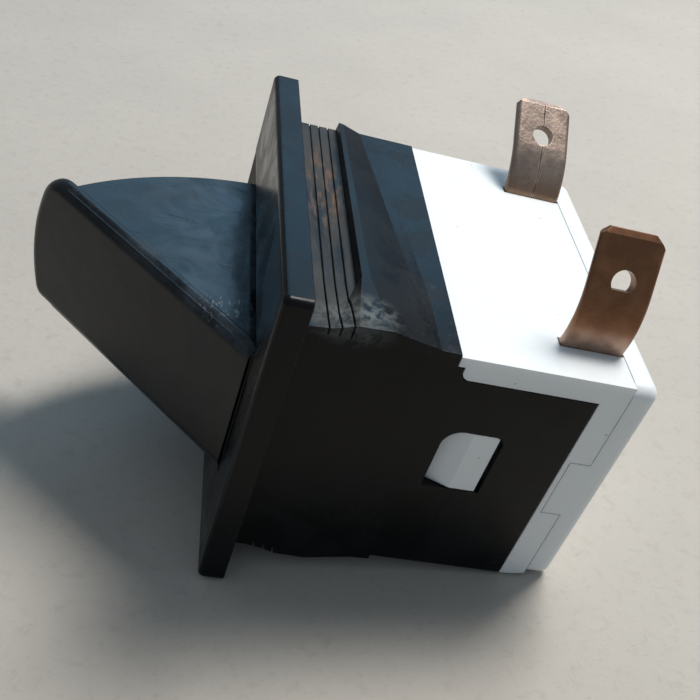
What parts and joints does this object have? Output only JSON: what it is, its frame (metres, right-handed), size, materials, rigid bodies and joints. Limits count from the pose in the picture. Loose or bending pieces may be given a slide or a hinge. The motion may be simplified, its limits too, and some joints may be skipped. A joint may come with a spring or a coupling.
{
  "type": "snap-in paddle door switch",
  "caption": "Panel-mount door switch with a hinged wedge paddle in a black bezel, a snap-in housing, a white contact base and two blade terminals.",
  "frame": {"origin": "centre of the panel cut-out, in the plane of the bezel's rear face", "axes": "+X rearwards into the panel, +Z towards the edge of the body with the terminals, -Y towards the paddle's hinge"},
  "size_m": [0.0427, 0.0305, 0.0313],
  "materials": {
    "black_housing": "satin moulded nylon, scuffed",
    "black_paddle": "gloss moulded plastic with fine scuffs",
    "plunger_plastic": "natural acetal",
    "spring_steel": "drawn stainless wire",
    "contact_copper": "rolled copper alloy",
    "contact_silver": "silver alloy",
    "terminal_bronze": "oxidised copper alloy",
    "terminal_aged": "dull aged copper alloy",
    "white_base": "white moulded plastic",
    "white_cover": "white moulded plastic"
  },
  "bodies": {
    "body": {"housing": "black_housing", "base": "white_base", "rear_cover": "white_cover", "terminal_near": "terminal_bronze", "terminal_far": "terminal_aged", "fixed_contact_upper": "contact_silver", "fixed_contact_lower": "contact_silver", "return_spring": "spring_steel"},
    "paddle": {"paddle": "black_paddle"},
    "plunger": {"plunger_cap": "plunger_plastic", "contact_carrier": "plunger_plastic", "contact_spring": "spring_steel"},
    "bridge": {"contact_bridge": "contact_copper", "bridge_contact_upper": "contact_silver", "bridge_contact_lower": "contact_silver"}
  },
  "joints": [
    {"name": "paddle_hinge", "type": "hinge", "parent": "body", "child": "paddle", "pos_m": [0.0013, -0.0111, 0], "axis": [0, 0, -1], "range_deg": [0, 37], "stiffness_Nm_per_rad": 0.0193, "springref_deg": -55.58},
    {"name": "plunger_slide", "type": "slide", "parent": "body", "child": "plunger", "axis": [1, 0, 0], "range_m": [0, 0.0024], "deforming": ["return_spring"]},
    {"name": "bridge_float", "type": "slide", "parent": "plunger", "child": "bridge", "axis": [1, 0, 0], "range_m": [0, 0.0005], "stiffness_N_per_m": 900, "springref_m": -0.001, "deforming": ["contact_spring"]}
  ],
  "couplings": [
    {"joint": "plunger_slide", "follows": "paddle_hinge", "m_per_rad": 0.0037128}
  ]
}
